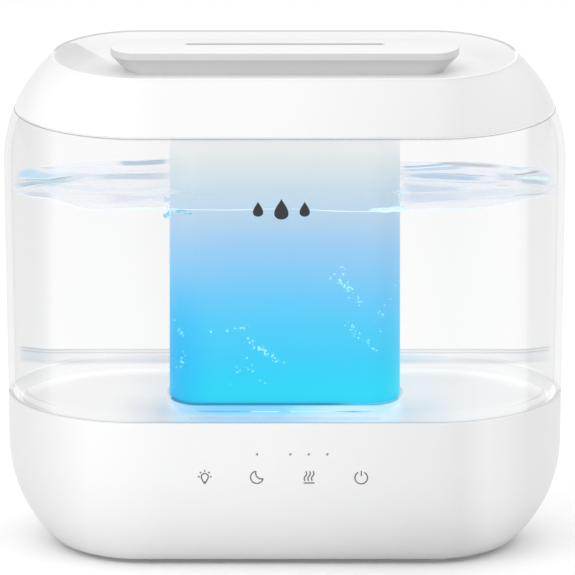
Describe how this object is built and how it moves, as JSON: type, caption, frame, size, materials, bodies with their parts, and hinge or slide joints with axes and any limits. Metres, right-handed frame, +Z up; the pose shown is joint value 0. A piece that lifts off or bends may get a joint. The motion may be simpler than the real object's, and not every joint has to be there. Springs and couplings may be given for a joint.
{
  "type": "cool mist humidifier",
  "caption": "Tabletop cool mist humidifier: white base with touch panel, clear lift-off water tank, central lit mist duct and a white lid with a raised nozzle bar.",
  "frame": {"origin": "on the table under the middle of the base, level with the undersides of the feet", "axes": "+Z up, -Y towards the control panel, +X to the right of someone who faces the panel"},
  "size_m": [0.25, 0.16, 0.223],
  "materials": {
    "white_plastic": "satin",
    "inner_plastic": "matte",
    "clear_plastic": "clear, polished",
    "frosted_plastic": "frosted, lit from below",
    "silicone": "matte",
    "black_plastic": "matte",
    "magnet": "dull",
    "steel": "plain",
    "aluminium": "satin",
    "copper": "plain",
    "circuit_board": "solder mask"
  },
  "bodies": {
    "base": {"base_shell": "white_plastic", "bottom_cover": "inner_plastic", "rubber_foot_1": "silicone", "rubber_foot_2": "silicone", "rubber_foot_3": "silicone", "rubber_foot_4": "silicone", "cover_screw_1": "steel", "cover_screw_2": "steel", "cover_screw_3": "steel", "cover_screw_4": "steel", "reservoir_tray": "inner_plastic", "transducer_disc": "steel", "transducer_seal": "silicone", "transducer_clamp": "aluminium", "clamp_screw_1": "steel", "clamp_screw_2": "steel", "clamp_screw_3": "steel", "fan_frame": "black_plastic", "air_tower": "inner_plastic", "air_hood": "inner_plastic", "float_guide": "inner_plastic", "float_retainer": "inner_plastic", "level_sensor": "black_plastic", "valve_post": "inner_plastic", "main_board": "circuit_board", "heat_sink": "aluminium", "capacitor": "black_plastic", "choke": "copper", "control_board": "circuit_board", "touch_pad_light": "copper", "touch_pad_sleep": "copper", "touch_pad_mist": "copper", "touch_pad_power": "copper", "lamp_light_guide": "clear_plastic", "night_light_board": "inner_plastic", "night_light_lens": "frosted_plastic", "dc_jack": "black_plastic", "dc_jack_pin": "steel", "supply_lead": "black_plastic", "fan_lead": "black_plastic", "transducer_lead": "black_plastic"},
    "fan": {"fan_rotor": "black_plastic"},
    "float": {"float_body": "inner_plastic", "float_magnet": "magnet"},
    "tank": {"tank_shell": "clear_plastic", "mist_duct": "frosted_plastic", "duct_seal": "silicone", "valve_body": "inner_plastic", "valve_spring": "steel"},
    "plunger": {"valve_plunger": "inner_plastic", "valve_washer": "silicone"},
    "lid": {"lid_shell": "white_plastic", "lid_liner": "inner_plastic", "lid_gasket": "silicone", "nozzle_bar": "white_plastic", "mist_baffle": "inner_plastic", "nozzle_screw_1": "steel", "nozzle_screw_2": "steel"}
  },
  "joints": [
    {"name": "fan_spin", "type": "hinge", "parent": "base", "child": "fan", "pos_m": [-0.028, 0, 0.0129], "axis": [0, 0, 1], "continuous": true},
    {"name": "float_rise", "type": "slide", "parent": "base", "child": "float", "axis": [0, 0, 1], "range_m": [0, 0.004]},
    {"name": "tank_lift", "type": "slide", "parent": "base", "child": "tank", "axis": [0, 0, 1], "range_m": [0, 0.1]},
    {"name": "valve_close", "type": "slide", "parent": "tank", "child": "plunger", "axis": [0, 0, -1], "range_m": [0, 0.005]},
    {"name": "lid_lift", "type": "slide", "parent": "tank", "child": "lid", "axis": [0, 0, 1], "range_m": [0, 0.08]}
  ],
  "couplings": [
    {"joint": "valve_close", "follows": "tank_lift", "ratio": 0.05}
  ]
}
